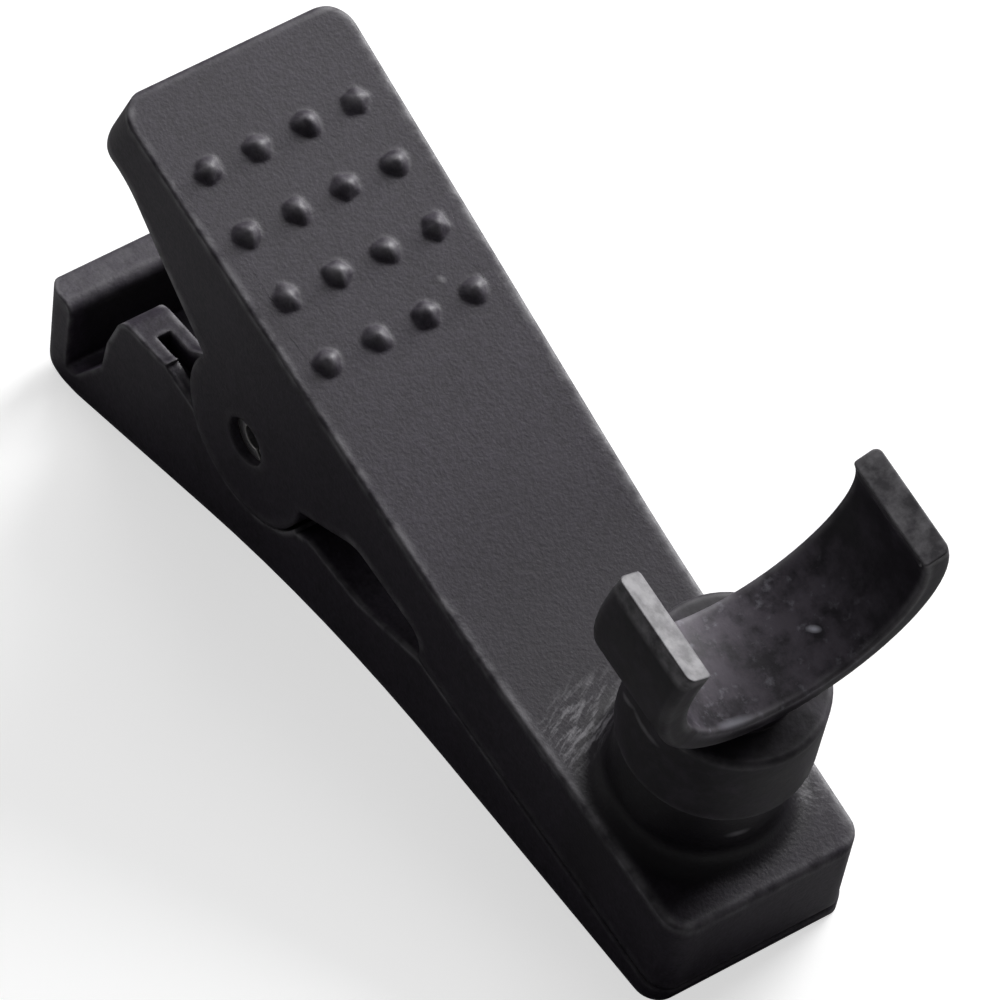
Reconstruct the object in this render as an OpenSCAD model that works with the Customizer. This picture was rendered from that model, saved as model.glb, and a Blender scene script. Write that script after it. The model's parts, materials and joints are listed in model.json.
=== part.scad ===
// Spring clip with a snap cradle for a lavalier microphone capsule.
// It lies on its lower lever, jaw tip towards +X, with the post and the cradle on top.
// Two moulded levers turn on a rolled pin; a torsion spring closes the jaws.
// Lengths are in millimetres and angles in degrees.

/* [Levers] */
// Length of the upper lever from its rear edge to the jaw tip
lever_length = 38.1; // [34:0.1:44]
// Distance from the rear edge of the upper lever forward to the hinge pin
pin_setback = 11.4; // [10:0.1:13]
// Width of both levers at the rear
rear_width = 10.1; // [9:0.1:12]
// Width of the upper lever at the jaw tip
tip_width = 8.4; // [7.8:0.1:9]
// Width of the lower lever at the jaw tip
lower_tip_width = 8.6; // [7.8:0.1:9.2]
// Draft of the upper lever's sides, which widen downward
side_draft = 1; // [0:0.1:1.5]
// Draft of the jaw's front face, which leans out downward
front_draft = 5; // [0:0.1:6]
// Height of the top face over the hinge pin, square to the face
top_over_pin = 5.7; // [5.2:0.1:6.5]
// Depth of the upper jaw from the top face to the plane in which the jaws meet
jaw_depth = 4.3; // [3.8:0.1:4.6]
// Extra upward bend of the rear half of the upper lever
rear_bend = 5.3; // [2:0.1:7]
// Distance from the hinge pin forward to the bend
bend_ahead = 12.9; // [8:0.1:16]
// Radius of the bend in the top face
bend_radius = 60; // [30:1:80]
// Wall of the upper lever's top plate
plate_wall = 1.3; // [1:0.1:1.6]
// Depth of the upper lever's rear end face
rear_face_height = 3.1; // [2.6:0.1:3.8]
// Distance by which the upper lever's rear face leans out at its lower edge
rear_lean = 0.5; // [0:0.05:0.6]
// Rounding of the levers' upright corners at the tip
corner_radius = 1.05; // [0.5:0.05:1.8]
// Rounding of the upper lever's upright corners at the rear
rear_corner_radius = 1.3; // [0.5:0.1:2]

/* [Lower lever] */
// Height of the hinge pin over the surface that the clip lies on
pin_height = 7.5; // [7:0.05:8.4]
// Thickness of the lower jaw at its tip
tip_wall = 0.6; // [0.4:0.05:1]
// Draft of the lower lever's sides, which widen downward
lower_draft = 0.6; // [0:0.1:2]
// Distance from the pin back to the outer face of the rear rim
rim_setback = 14.1; // [13:0.1:15]
// Height of the rear rim over the surface that the clip lies on
rim_height = 4.5; // [3.5:0.1:5.5]
// Rounding of the rear rim's upright corners
rim_corner_radius = 0.9; // [0.4:0.1:1.2]
// Wall of the rear rim
rim_wall = 1.8; // [0.8:0.1:2]
// Distance by which the rim leans forward at its top
rim_lean = 0.45; // [0:0.05:0.6]
// Thickness of the tray floor
floor_wall = 0.9; // [0.7:0.05:1.2]
// Height of the arch under the lower lever, where its two slopes cross
arch_height = 2.5; // [1.5:0.1:3]
// Radius that rounds the crown of the arch
arch_radius = 57; // [30:1:70]
// Height of the ears' backs over the surface that the clip lies on
ear_height = 6.8; // [6:0.1:7.2]
// Distance from the pin back to the ears' rear corner
ear_setback = 8.4; // [8:0.1:9]

/* [Hinge] */
// Outer diameter of the rolled hinge pin
pin_diameter = 2; // [1.6:0.1:2.4]
// Bore of the rolled pin
pin_bore = 1; // [0.6:0.1:1.2]
// Width of the slit along the rolled pin
pin_slit = 0.25; // [0.15:0.05:0.4]
// Depth to which each pin end sits below the lobe's outer face
pin_recess = 0.35; // [0.2:0.05:0.6]
// Radius of the upper lever's round hinge lobes
lobe_radius = 3.6; // [3.2:0.1:3.9]
// Radius of the ears' eyes, round the pin
eye_radius = 2.6; // [2.2:0.1:2.8]
// Half width of the channel between the lobes
channel_half = 3.9; // [3.7:0.05:4]
// Wall of each ear between the lobe and the spring
ear_wall = 0.6; // [0.5:0.05:0.9]
// Side gap between a lobe and an ear
side_gap = 0.15; // [0.1:0.05:0.25]
// Radial clearance of the pin in the ears, in which it turns
pin_clearance = 0.06; // [0.03:0.01:0.1]
// Radial clearance of the pin in the lobes, which hold it
lobe_clearance = 0.02; // [0.01:0.01:0.04]

/* [Jaws] */
// Gap between the closed jaws
jaw_gap = 0.1; // [0.06:0.02:0.2]
// Number of grip ridges across the upper jaw
ridge_count = 6; // [3:1:7]
// Distance from one ridge to the next
ridge_pitch = 1.5; // [1.2:0.1:1.7]
// Height of each ridge
ridge_height = 0.38; // [0.2:0.02:0.45]
// Width of the ridges across the jaw
ridge_span = 6.2; // [5:0.1:7]
// Distance from the pin forward to the start of the jaw faces
jaw_start = 11.2; // [10:0.1:12]
// Height of the relief behind the upper jaw, over the pin
relief_height = 2.6; // [1.8:0.1:2.8]

/* [Grip domes] */
// Number of rows, and of domes in each row
dome_count = 4; // [2:1:5]
// Distance from the rear edge to the first row
dome_first = 4; // [3:0.1:5]
// Distance between rows
dome_row_pitch = 2.87; // [2.4:0.01:3.2]
// Distance between the domes in a row
dome_column_pitch = 2.19; // [1.7:0.01:2.3]
// Diameter of a dome where it meets the plate
dome_diameter = 1.35; // [1:0.05:1.6]
// Height of a dome
dome_height = 0.45; // [0.3:0.05:0.6]

/* [Spring] */
// Diameter of the spring wire
wire_diameter = 0.5; // [0.4:0.05:0.55]
// Radius of the coil at the middle of the wire
coil_radius = 1.55; // [1.5:0.05:1.9]
// Distance from one turn to the next
coil_pitch = 1.1; // [0.96:0.01:1.2]
// Whole turns of the coil, less the part turn between the legs
coil_turns = 4; // [3:1:4]

/* [Post] */
// Distance from the jaw tip back to the axis of the post
post_setback = 5.2; // [5:0.1:8]
// Height of the post over the top face
post_height = 3.9; // [3:0.1:5]
// Radius of the post
post_radius = 3.4; // [3:0.1:3.6]
// Radius of the fillet round the foot of the post
post_fillet = 1; // [0.5:0.1:1.2]
// Radius of the hole for the cradle's spigot
spigot_hole_radius = 1.5; // [1.3:0.1:1.8]
// Radius of the counterbore that the spigot's barbs snap into
counterbore_radius = 2.2; // [2.1:0.1:2.6]
// Thickness of the jaw between the top face and the counterbore
snap_wall = 2.9; // [2.4:0.1:3.2]

/* [Cradle] */
// Inside diameter of the capsule ring
ring_bore = 10; // [8:0.1:11]
// Wall of the capsule ring
ring_wall = 1.1; // [0.9:0.1:1.5]
// Length of the capsule ring along the capsule
ring_length = 4.7; // [4:0.1:6]
// Angle from the horizontal up to each tip of the open ring
tip_angle = 23; // [15:1:35]
// Height of the ring's axis over the top face
ring_height = 14.5; // [13.8:0.1:16]
// Radius of the lip inside each tip of the ring
lip_radius = 0.4; // [0.25:0.05:0.5]
// Distance by which each lip stands in from the ring's bore
lip_stand = 0.1; // [0.05:0.05:0.3]
// Distance from the post's axis back to the middle of the ring
ring_setback = 0.1; // [0:0.05:0.5]
// Height of the cradle's round foot
foot_height = 4.1; // [3:0.1:4.2]
// Radius of the foot at its lower edge
foot_radius = 3.8; // [3.6:0.1:4]
// Radius of the foot at its upper edge
foot_top_radius = 3.55; // [3.2:0.05:3.6]
// Radius of the neck between the foot and the ring
neck_radius = 2.2; // [1.8:0.1:2.8]
// Running gap between the cradle and the post
turn_gap = 0.05; // [0.03:0.01:0.1]
// Width of the slot that splits the spigot
spigot_slot = 0.6; // [0.4:0.1:0.8]

/* [Hidden] */
$fn = 64;
moulding_black = [0.10, 0.10, 0.11];
cradle_black = [0.13, 0.13, 0.14];
steel = [0.62, 0.62, 0.64];
arc_steps = 8;
// Longer than anything on the clip: the reach of slabs and cuts that run right through
far = 30;
// Rounding of the outer edges, and of the edges where the jaws meet
edge = 0.35;
jaw_edge = 0.2;

// ---- outlines with rounded corners, each point written [x, z, corner radius] ----
function unit(v) = v / norm(v);
function turn_of(a) = a > 180 ? a - 360 : (a < -180 ? a + 360 : a);
function corner_arc(before, corner, after, r) =
    let (
        u = unit(before - corner),
        w = unit(after - corner),
        half = acos(u * w) / 2,
        centre = corner + unit(u + w) * r / sin(half),
        start = corner + u * r / tan(half) - centre,
        stop = corner + w * r / tan(half) - centre,
        from = atan2(start[1], start[0]),
        sweep = turn_of(atan2(stop[1], stop[0]) - from)
    )
    [for (i = [0:arc_steps]) let (a = from + sweep * i / arc_steps) centre + r * [cos(a), sin(a)]];
function flat_point(p) = [p[0], p[1]];
function rounded(points) =
    let (n = len(points))
    [for (i = [0:n - 1]) each points[i][2] == 0
        ? [flat_point(points[i])]
        : corner_arc(flat_point(points[(i + n - 1) % n]), flat_point(points[i]),
            flat_point(points[(i + 1) % n]), points[i][2])];

// ---- places: each lever is drawn from the pin axis, the upper one along its top face ----
function from_upper(p) = [
    p[0] * cos(top_slope) + p[1] * sin(top_slope),
    p[1] * cos(top_slope) - p[0] * sin(top_slope)
];
tip_ahead = lever_length - pin_setback;
function tip_at(z) = tip_ahead + (top_over_pin - z) * tan(front_draft);
seam = top_over_pin - jaw_depth;
upper_seam = seam + jaw_gap / 2;
lower_seam = seam - jaw_gap / 2;
// Slope of the top face: it brings the lower jaw to the tip's wall over the surface
jaw_corner = [tip_at(lower_seam), lower_seam];
top_slope = atan2(jaw_corner[1], jaw_corner[0]) + asin((pin_height - tip_wall) / norm(jaw_corner));
post_ahead = tip_ahead - post_setback;
post_top = top_over_pin + post_height;
foot_bottom = post_top + turn_gap;
foot_top = foot_bottom + foot_height;
ring_radius = ring_bore / 2;
ring_outer = ring_radius + ring_wall;
ring_centre = top_over_pin + ring_height;
ring_edge = 0.3;
// The ring's foremost point is on the rounded front edge of a tip; it sets the middle of the clip
edge_centre = from_upper([
    post_ahead - ring_setback + ring_length / 2 - ring_edge,
    ring_centre + (ring_outer - ring_edge) * sin(tip_angle)
]);
ring_reach = edge_centre[0] + ring_edge * norm([cos(top_slope), sin(top_slope) * sin(tip_angle)]);
pin_x = (rim_setback - ring_reach) / 2;

module from_pin() {
    translate([pin_x, 0, pin_height]) children();
}
module from_upper_lever() {
    from_pin() rotate([0, top_slope, 0]) children();
}
module from_post() {
    from_upper_lever() translate([post_ahead, 0, 0]) children();
}
// A flat outline in X and Z, as a slab across the width
module across(points, width) {
    rotate([90, 0, 0]) linear_extrude(height = width, center = true) polygon(points);
}
module bar_across(radius, width) {
    rotate([90, 0, 0]) cylinder(r = radius, h = width, center = true);
}
// Half of a lever's width, which draws in from the rear of the levers to the tip
function half_width(x, front_width) =
    (rear_width + (front_width - rear_width) * (x + pin_setback) / lever_length) / 2;
// Both drafted sides: two tilted copies leave what both hold. The widths are those at width_level,
// and the copies cross at low_level, under the body
module drafted_sides(front_width, draft, width_level, low_level) {
    spread = (width_level - low_level) * tan(draft);
    intersection_for(tilt = [-draft, draft])
        translate([0, 0, low_level]) rotate([tilt, 0, 0])
            linear_extrude(height = 2 * far, center = true) polygon([
                [-far, -half_width(-far, front_width) - spread],
                [2 * far, -half_width(2 * far, front_width) - spread],
                [2 * far, half_width(2 * far, front_width) + spread],
                [-far, half_width(-far, front_width) + spread]
            ]);
}
// What rounds an upright corner between two faces, given by their outward normals
module corner_cut(corner, first, second, radius) {
    along = unit(cross(first, second));
    polar = acos(along[2]);
    azimuth = atan2(along[1], along[0]);
    out_x = [cos(azimuth) * cos(polar), sin(azimuth) * cos(polar), -sin(polar)];
    out_y = [-sin(azimuth), cos(azimuth), 0];
    f = [first * out_x, first * out_y];
    s = [second * out_x, second * out_y];
    apex = (f + s) / (1 + f * s);
    reach = radius + 1;
    translate(corner) rotate([0, polar, azimuth]) translate([-radius * apex[0], -radius * apex[1], 0])
        difference() {
            linear_extrude(height = far, center = true)
                polygon([[0, 0], reach * f, reach * apex, reach * s]);
            cylinder(r = radius, h = 2 * far, center = true);
        }
}
// The same cut at both ends of a lever's front or rear face, which lies at x on the level z
module corner_cuts(x, z, face, front_width, draft, width_level, radius) {
    taper = atan((rear_width - front_width) / 2 / lever_length);
    half = half_width(x, front_width) + (width_level - z) * tan(draft);
    both_sides() corner_cut([x, half, z], [face[0], 0, face[1]],
        [sin(taper), cos(taper) * cos(draft), cos(taper) * sin(draft)], radius);
}
module both_sides() {
    children();
    mirror([0, 1, 0]) children();
}

// ---- upper lever ----
function top_height(x) = top_over_pin + max(0, bend_ahead - x) * tan(rear_bend);
rear_top = top_height(-pin_setback);
rear_low = rear_top - rear_face_height;
skirt_height = 3.1;
web_height = 0.8;
upper_outline = rounded([
    // top face, from the rear edge over the bend to the tip
    [-pin_setback, rear_top, edge],
    [bend_ahead, top_over_pin, bend_radius],
    [tip_ahead, top_over_pin, edge],
    // jaw face and the relief behind it
    [tip_at(upper_seam), upper_seam, jaw_edge],
    [jaw_start, upper_seam, jaw_edge],
    [jaw_start - 0.2, relief_height, 0.9],
    [lobe_radius + 3, relief_height, 1.6],
    // down to the lobes, which the round bar fills out
    [lobe_radius + 0.6, web_height, 0.8],
    [0.6 * lobe_radius, -0.2 * lobe_radius, 0],
    [-0.6 * lobe_radius, -0.2 * lobe_radius, 0],
    [-lobe_radius + 0.3, 1.5, 0.6],
    // lower edge of the side walls, and the rear face
    [-pin_setback + 5, skirt_height, 3],
    [-pin_setback + 1.8, rear_low, 4],
    [-pin_setback - rear_lean, rear_low, 0.8]
]);
channel_front = lobe_radius + 1;
channel_rear = -pin_setback + plate_wall;
channel_outline = [
    [channel_rear, top_height(channel_rear) - plate_wall],
    [channel_front, top_height(channel_front) - plate_wall],
    [channel_front, -far],
    [channel_rear, -far]
];
ridge_first = jaw_start + 1.6;
// A ridge's groove in the other jaw is wider and deeper than the ridge
ridge_root = 0.1;
groove_play = 0.14;
function ridge_at(i) = ridge_first + i * ridge_pitch;
module ridge(x, height, spread) {
    translate([x, 0, seam]) across([
        [-height - spread, spread],
        [0, -height],
        [height + spread, spread]
    ], ridge_span + 2 * spread);
}
module dome(row, column) {
    ball = (pow(dome_diameter / 2, 2) + pow(dome_height, 2)) / (2 * dome_height);
    rotate([0, rear_bend, 0])
        translate([dome_first + row * dome_row_pitch,
            (column - (dome_count - 1) / 2) * dome_column_pitch, dome_height - ball])
            sphere(r = ball, $fn = 32);
}
module grip_domes() {
    translate([-pin_setback, 0, rear_top])
        for (row = [0:dome_count - 1])
            for (column = [0:dome_count - 1])
                dome(row, column);
}
post_root = 1;
post_edge = 0.2;
post_profile = concat(
    [[0, -post_root], [post_radius + post_fillet, -post_root]],
    [for (i = [0:arc_steps]) [
        post_radius + post_fillet * (1 - sin(90 * i / arc_steps)),
        post_fillet * (1 - cos(90 * i / arc_steps))
    ]],
    [[post_radius, post_height - post_edge], [post_radius - post_edge, post_height], [0, post_height]]
);
module post() {
    translate([post_ahead, 0, top_over_pin]) rotate_extrude() polygon(post_profile);
}
counterbore_top = top_over_pin - snap_wall;
module spigot_hole() {
    translate([post_ahead, 0, 0]) {
        cylinder(r = spigot_hole_radius, h = far);
        translate([0, 0, counterbore_top - far])
            cylinder(r = counterbore_radius, h = far);
    }
}
module upper_lever() {
    color(moulding_black) from_upper_lever() difference() {
        union() {
            intersection() {
                union() {
                    across(upper_outline, far);
                    bar_across(lobe_radius, far);
                    post();
                }
                drafted_sides(tip_width, side_draft, top_over_pin, -lobe_radius);
            }
            for (i = [0:ridge_count - 1])
                ridge(ridge_at(i), ridge_height, ridge_root);
            grip_domes();
        }
        corner_cuts(tip_ahead, top_over_pin, [cos(front_draft), sin(front_draft)],
            tip_width, side_draft, top_over_pin, corner_radius);
        corner_cuts(-pin_setback, rear_top, unit([-rear_face_height, rear_lean]),
            tip_width, side_draft, top_over_pin, rear_corner_radius);
        across(channel_outline, 2 * channel_half);
        bar_across(pin_diameter / 2 + lobe_clearance, far);
        spigot_hole();
    }
}

// ---- lower lever ----
ground = -pin_height;
rim_back = -rim_setback;
rim_front = rim_back + rim_wall;
rim_inside = rim_front + rim_lean;
ear_top = ground + ear_height;
ear_front = -lobe_radius - 1.8;
tray_top = ground + floor_wall;
// The arch under the lever springs behind the ears and in front of the tip's foot
arch_rear = rim_back + 2.5;
// Distance down the drafted front face, from the top face to the ground
front_run = (top_over_pin * cos(top_slope) - tip_ahead * sin(top_slope) - ground)
    / (cos(top_slope) + tan(front_draft) * sin(top_slope));
tip_low = from_upper([tip_at(top_over_pin - front_run), top_over_pin - front_run])[0];
tip_seam = from_upper(jaw_corner);
tip_normal = from_upper([cos(front_draft), sin(front_draft)]);
rim_normal = unit([-rim_height, rim_lean]);
seam_begin = from_upper([jaw_start, lower_seam]);
arch_front = tip_low - 1.2;
arch_crown = 5;
tray_rise = arch_height / (arch_crown - arch_rear);
ear_inner = channel_half - side_gap;
tray_half = ear_inner - ear_wall;
lower_outline = rounded([
    // underside, with the arch
    [rim_back, ground, 1.6],
    [arch_rear, ground, 4],
    [arch_crown, ground + arch_height, arch_radius],
    [arch_front, ground, 3],
    [tip_low, ground, edge],
    // front face and jaw face
    [tip_seam[0], tip_seam[1], jaw_edge],
    [seam_begin[0], seam_begin[1], 0.6],
    // hollow behind the jaw, and the rise to the eyes, which the round bar fills out
    [2 * lobe_radius, seam_begin[1] - 0.45, 4],
    [lobe_radius + 0.4, seam_begin[1] + 0.1, 0.5],
    [0.88 * lobe_radius, -0.64 * lobe_radius, 0],
    [0.8 * eye_radius, 0, 0],
    [-0.6 * eye_radius, 0.8 * eye_radius, 0],
    // backs of the ears, and their S-shaped rear edge
    [ear_front - 0.2, ear_top, 1],
    [-ear_setback, ear_top, 1],
    [-ear_setback - 1, tray_top + 3.8, 2],
    [-ear_setback - 1.4, tray_top + 2.1, 0.8],
    // tray floor and rear rim
    [rim_front + 0.6, tray_top, 0.4],
    [rim_front, tray_top, 0.1],
    [rim_inside, ground + rim_height, 0.5],
    [rim_back + rim_lean, ground + rim_height, edge]
]);
tray_front = lobe_radius + 1.2;
tray_outline = [
    [rim_front, tray_top],
    [arch_rear, tray_top],
    [tray_front, tray_top + (tray_front - arch_rear) * tray_rise],
    [tray_front, far],
    [rim_inside, far],
    [rim_inside, ground + rim_height]
];
// What the lobes need outside the ears: their round seat and the room over it
lobe_seat = lobe_radius + side_gap;
seat_outline = [
    [ear_front, ear_top],
    [-0.93 * lobe_seat, -0.37 * lobe_seat],
    [0, 0],
    [0.86 * lobe_seat, -0.5 * lobe_seat],
    [lobe_seat + 1, 0],
    [lobe_seat + 1, far],
    [ear_front, far]
];
// A groove runs along the foot of each ear, outside it
groove_width = 0.6;
groove_depth = 1.1;
groove_start = ear_front - 1.5;
module lower_lever() {
    color(moulding_black) from_pin() difference() {
        intersection() {
            union() {
                across(lower_outline, far);
                bar_across(eye_radius, 2 * ear_inner);
            }
            drafted_sides(lower_tip_width, lower_draft, ground + rim_height, ground - 1);
        }
        corner_cuts(tip_seam[0], tip_seam[1], tip_normal, lower_tip_width, lower_draft,
            ground + rim_height, corner_radius);
        corner_cuts(rim_back + rim_lean, ground + rim_height, rim_normal, lower_tip_width, lower_draft,
            ground + rim_height, rim_corner_radius);
        across(tray_outline, 2 * tray_half);
        bar_across(pin_diameter / 2 + pin_clearance, far);
        both_sides() translate([0, -ear_inner - far / 2, 0]) {
            bar_across(lobe_seat, far);
            across(seat_outline, far);
        }
        both_sides() translate([groove_start, -ear_inner - groove_width, ear_top - groove_depth])
            cube([-groove_start, groove_width, far]);
        rotate([0, top_slope, 0])
            for (i = [0:ridge_count - 1])
                ridge(ridge_at(i), ridge_height, groove_play);
    }
}

// ---- hinge pin ----
lobe_outer = half_width(0, tip_width) + top_over_pin * tan(side_draft);
pin_length = 2 * (lobe_outer - pin_recess);
slit_turn = 35;
module hinge_pin() {
    color(steel) from_upper_lever() difference() {
        bar_across(pin_diameter / 2, pin_length);
        bar_across(pin_bore / 2, far);
        rotate([0, slit_turn, 0]) translate([0, -far / 2, -pin_slit / 2])
            cube([pin_diameter, far, pin_slit]);
    }
}

// ---- torsion spring: one wire, leg - coil - leg ----
wire_sides = 6;
rings_per_turn = 8;
leg_gap = 0.05;
leg_rest = leg_gap + wire_diameter / 2;
leg_foot = 1.2;
lower_touch_x = -9;
lower_touch = [lower_touch_x, tray_top + (lower_touch_x - arch_rear) * tray_rise + leg_rest];
lower_end = lower_touch - leg_foot * unit([1, tray_rise]);
upper_touch_x = -8;
upper_touch_local = [upper_touch_x, top_height(upper_touch_x) - plate_wall - leg_rest];
upper_touch = from_upper(upper_touch_local);
upper_end = from_upper(upper_touch_local - leg_foot * unit([1, -tan(rear_bend)]));
function angle_of(p) = atan2(p[1], p[0]);
coil_from = angle_of(lower_touch) + acos(coil_radius / norm(lower_touch)) - 360;
coil_to = angle_of(upper_touch) - acos(coil_radius / norm(upper_touch));
coil_sweep = coil_to - coil_from + 360 * (coil_turns - 1);
coil_rings = ceil(coil_sweep / 360 * rings_per_turn);
coil_width = coil_pitch * coil_sweep / 360;
function wind(i) = coil_from + coil_sweep * i / coil_rings;
coil_path = [for (i = [0:coil_rings]) [
    coil_radius * cos(wind(i)),
    coil_width * (i / coil_rings - 0.5),
    coil_radius * sin(wind(i))
]];
function on_leg(p, y) = [p[0], y, p[1]];
wire_path = concat(
    [on_leg(lower_end, -coil_width / 2), on_leg(lower_touch, -coil_width / 2)],
    coil_path,
    [on_leg(upper_touch, coil_width / 2), on_leg(upper_end, coil_width / 2)]
);
function heading(i) = unit(wire_path[min(i + 1, len(wire_path) - 1)] - wire_path[max(i - 1, 0)]);
// Each ring stands square to the wire, with one axis kept along the coil's width
function wire_ring(i) =
    let (
        along = heading(i),
        side = unit([0, 1, 0] - along * along[1]),
        out = cross(along, side)
    )
    [for (k = [0:wire_sides - 1]) wire_path[i]
        + wire_diameter / 2 * (side * cos(360 * k / wire_sides) + out * sin(360 * k / wire_sides))];
wire_points = [for (i = [0:len(wire_path) - 1]) each wire_ring(i)];
function wire_index(i, k) = i * wire_sides + k % wire_sides;
wire_faces = concat(
    [for (k = [1:wire_sides - 2]) [0, k, k + 1]],
    [for (i = [0:len(wire_path) - 2]) for (k = [0:wire_sides - 1]) each [
        [wire_index(i, k), wire_index(i + 1, k), wire_index(i, k + 1)],
        [wire_index(i, k + 1), wire_index(i + 1, k), wire_index(i + 1, k + 1)]
    ]],
    [for (k = [1:wire_sides - 2]) let (last = len(wire_path) - 1)
        [wire_index(last, 0), wire_index(last, k + 1), wire_index(last, k)]]
);
// Least gap from one turn to the next, measured on the rings' points
least_gap = min([
    for (i = [0:coil_rings - rings_per_turn])
        for (j = [i + rings_per_turn - 1:coil_rings])
            norm(coil_path[i] - coil_path[j]) - wire_diameter
]);
echo(spring_least_gap = least_gap);
module torsion_spring() {
    color(steel) from_pin() polyhedron(points = wire_points, faces = wire_faces);
}

// ---- mic cradle ----
bore_edge = 0.15;
ring_profile = rounded([
    [ring_radius, -ring_length / 2, bore_edge],
    [ring_outer, -ring_length / 2, ring_edge],
    [ring_outer, ring_length / 2, ring_edge],
    [ring_radius, ring_length / 2, bore_edge]
]);
module open_ring() {
    translate([-ring_setback, 0, ring_centre]) rotate([90, 0, 90])
        rotate([0, 0, 180 - tip_angle])
            rotate_extrude(angle = 180 + 2 * tip_angle) polygon(ring_profile);
}
module tip_lips() {
    lip_at = ring_radius + lip_radius - lip_stand;
    lip_angle = tip_angle - 5;
    lip_length = ring_length - 2 * ring_edge;
    both_sides() translate([-ring_setback, 0, ring_centre])
        translate([0, lip_at * cos(lip_angle), lip_at * sin(lip_angle)])
            rotate([0, 90, 0]) cylinder(r = lip_radius, h = lip_length, center = true);
}
foot_profile = rounded([
    [0, foot_bottom, 0],
    [foot_radius, foot_bottom, 0.3],
    [foot_top_radius, foot_top, 0.25],
    [0, foot_top, 0]
]);
// What one round of the cradle runs into the next, so that they are one moulding
bond = 0.5;
spigot_radius = spigot_hole_radius - turn_gap;
barb_top = counterbore_top - turn_gap;
barb_radius = counterbore_radius - 0.35;
barb_length = 1;
barb_land = 0.25;
barb_nose = spigot_radius - 0.15;
spigot_profile = [
    [0, foot_bottom + bond],
    [spigot_radius, foot_bottom + bond],
    [spigot_radius, barb_top],
    [barb_radius, barb_top],
    [barb_radius, barb_top - barb_land],
    [barb_nose, barb_top - barb_length],
    [0, barb_top - barb_length]
];
module neck() {
    difference() {
        translate([0, 0, foot_top - bond])
            cylinder(r = neck_radius, h = ring_centre - foot_top);
        translate([0, 0, ring_centre]) rotate([0, 90, 0])
            cylinder(r = ring_outer - bond, h = far, center = true);
    }
}
module mic_cradle() {
    color(cradle_black) from_post() difference() {
        union() {
            open_ring();
            tip_lips();
            rotate_extrude() polygon(foot_profile);
            rotate_extrude() polygon(spigot_profile);
            neck();
        }
        translate([-far / 2, -spigot_slot / 2, barb_top - 2 * barb_length])
            cube([far, spigot_slot, foot_bottom - barb_top + barb_length]);
    }
}

upper_lever();
lower_lever();
hinge_pin();
torsion_spring();
mic_cradle();
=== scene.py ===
"""A sprung clip with a snap cradle for a lavalier microphone, dressed over its fixed frame."""

import json
import math

import bmesh
import bpy
import numpy as np
from mathutils import Matrix, Vector


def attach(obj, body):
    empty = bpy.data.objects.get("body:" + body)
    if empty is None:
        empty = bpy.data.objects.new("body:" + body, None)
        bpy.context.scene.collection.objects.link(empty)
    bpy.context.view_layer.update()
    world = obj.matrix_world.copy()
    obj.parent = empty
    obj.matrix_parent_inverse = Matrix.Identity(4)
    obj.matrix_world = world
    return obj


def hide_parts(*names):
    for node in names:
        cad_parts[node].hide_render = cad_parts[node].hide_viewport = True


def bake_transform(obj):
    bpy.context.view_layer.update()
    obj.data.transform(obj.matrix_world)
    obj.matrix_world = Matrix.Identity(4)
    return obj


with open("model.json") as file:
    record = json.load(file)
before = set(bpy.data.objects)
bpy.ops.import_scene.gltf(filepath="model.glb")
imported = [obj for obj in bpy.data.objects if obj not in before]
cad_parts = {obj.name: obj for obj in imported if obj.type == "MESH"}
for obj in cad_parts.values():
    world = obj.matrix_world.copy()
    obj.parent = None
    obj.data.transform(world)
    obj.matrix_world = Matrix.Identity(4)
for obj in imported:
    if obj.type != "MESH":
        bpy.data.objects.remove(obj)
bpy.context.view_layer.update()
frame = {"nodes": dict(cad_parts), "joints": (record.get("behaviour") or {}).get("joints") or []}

MM = 0.001

# ---------------------------------------------------------------- lower lever
# The half that the clip lies on: a tray behind, two ears for the hinge pin, and the lower jaw.
# It is injection moulded in black nylon; the mould is spark eroded, so the surface is a fine matte
# grain, and its edges come out slightly rounded and then rub brighter in use.

PLASTIC_IOR = 1.5
ROUNDING_SAMPLES = 8
OPENNESS_SAMPLES = 16
OPENNESS = (0.7, 0.98)

# How much fine noise lies on the coarse: its octaves, and the strength of each beside the last.
SOFT = (2.0, 0.5)
CLOUDY = (3.0, 0.5)
RAGGED = (4.0, 0.6)

# A Mix node has a set of sockets for each type of value; these are the ones for colours.
FIRST_COLOUR, SECOND_COLOUR, MIXED_COLOUR = 6, 7, 2


class Value:
    """A shader socket that Python's operators work on: each adds the Math node it stands for."""

    def __init__(self, finish, socket):
        self.finish = finish
        self.socket = socket

    def maths(self, operation, first, second):
        return self.finish.add("ShaderNodeMath", {"operation": operation}, {0: first, 1: second})

    def __add__(self, other):
        return self.maths("ADD", self, other)

    def __sub__(self, other):
        return self.maths("SUBTRACT", self, other)

    def __mul__(self, other):
        return self.maths("MULTIPLY", self, other)

    def __rsub__(self, other):
        return self.maths("SUBTRACT", other, self)

    __radd__ = __add__
    __rmul__ = __mul__


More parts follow.
